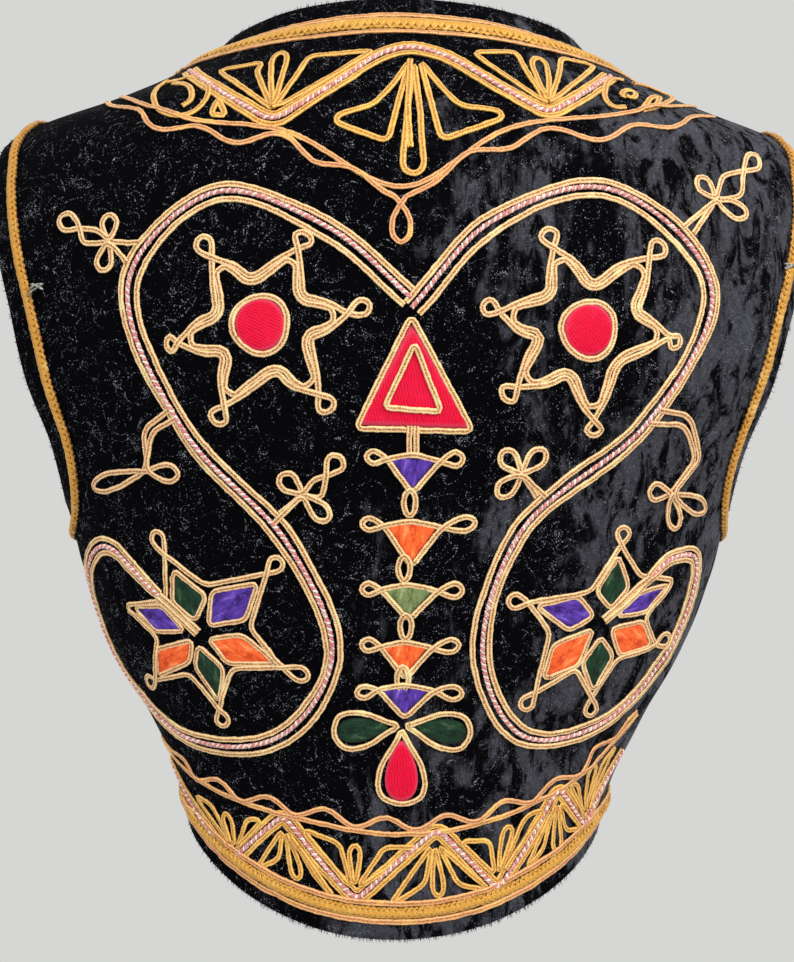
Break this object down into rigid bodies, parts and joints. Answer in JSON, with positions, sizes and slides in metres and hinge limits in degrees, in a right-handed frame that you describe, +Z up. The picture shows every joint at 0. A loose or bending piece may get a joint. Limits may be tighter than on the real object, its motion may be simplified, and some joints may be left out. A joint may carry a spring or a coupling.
{
  "type": "embroidered folk vest",
  "caption": "Waist-length sleeveless velvet vest with an open front, gold braid edges and couched cord embroidery of scrolls, stars and flowers on the back.",
  "frame": {"origin": "middle of the line through the two neck points of the shoulder seams, where the wearer's shoulders hold the vest up", "axes": "+Z up, -Y the front of the garment, +Y the embroidered back, +X the wearer's left"},
  "size_m": [0.3748, 0.2193, 0.4191],
  "materials": {
    "black_velvet": "crushed velvet, black with a blue-grey sheen",
    "gold_braid": "plaited metallic gold braid",
    "pale_gold_cord": "couched pale gold soutache cord",
    "red_satin": "crimson satin stitch",
    "purple_velvet": "purple velvet",
    "orange_velvet": "orange velvet",
    "green_velvet": "dark green velvet",
    "sage_velvet": "sage green velvet"
  },
  "bodies": {
    "root": {"back_panel": "black_velvet", "front_panel_left": "black_velvet", "front_panel_right": "black_velvet", "neck_braid": "gold_braid", "armhole_braid_left": "gold_braid", "armhole_braid_right": "gold_braid", "hem_braid": "gold_braid", "scroll_left": "pale_gold_cord", "scroll_right": "pale_gold_cord", "star_left": "pale_gold_cord", "star_right": "pale_gold_cord", "star_satin_left": "red_satin", "star_satin_right": "red_satin", "satin_triangle": "red_satin", "chain_1_purple": "purple_velvet", "chain_2_orange": "orange_velvet", "chain_3_sage": "sage_velvet", "chain_4_orange": "orange_velvet", "chain_5_purple": "purple_velvet", "trefoil_left_green": "green_velvet", "trefoil_right_green": "green_velvet", "trefoil_drop_red": "red_satin", "neck_zigzag": "pale_gold_cord", "petal_left_1_green": "green_velvet", "petal_left_2_purple": "purple_velvet", "petal_left_3_orange": "orange_velvet", "petal_left_4_green": "green_velvet", "petal_left_5_orange": "orange_velvet", "petal_left_6_purple": "purple_velvet", "petal_right_1_green": "green_velvet", "petal_right_2_purple": "purple_velvet", "petal_right_3_orange": "orange_velvet", "petal_right_4_green": "green_velvet", "petal_right_5_orange": "orange_velvet", "petal_right_6_purple": "purple_velvet"}
  },
  "joints": []
}
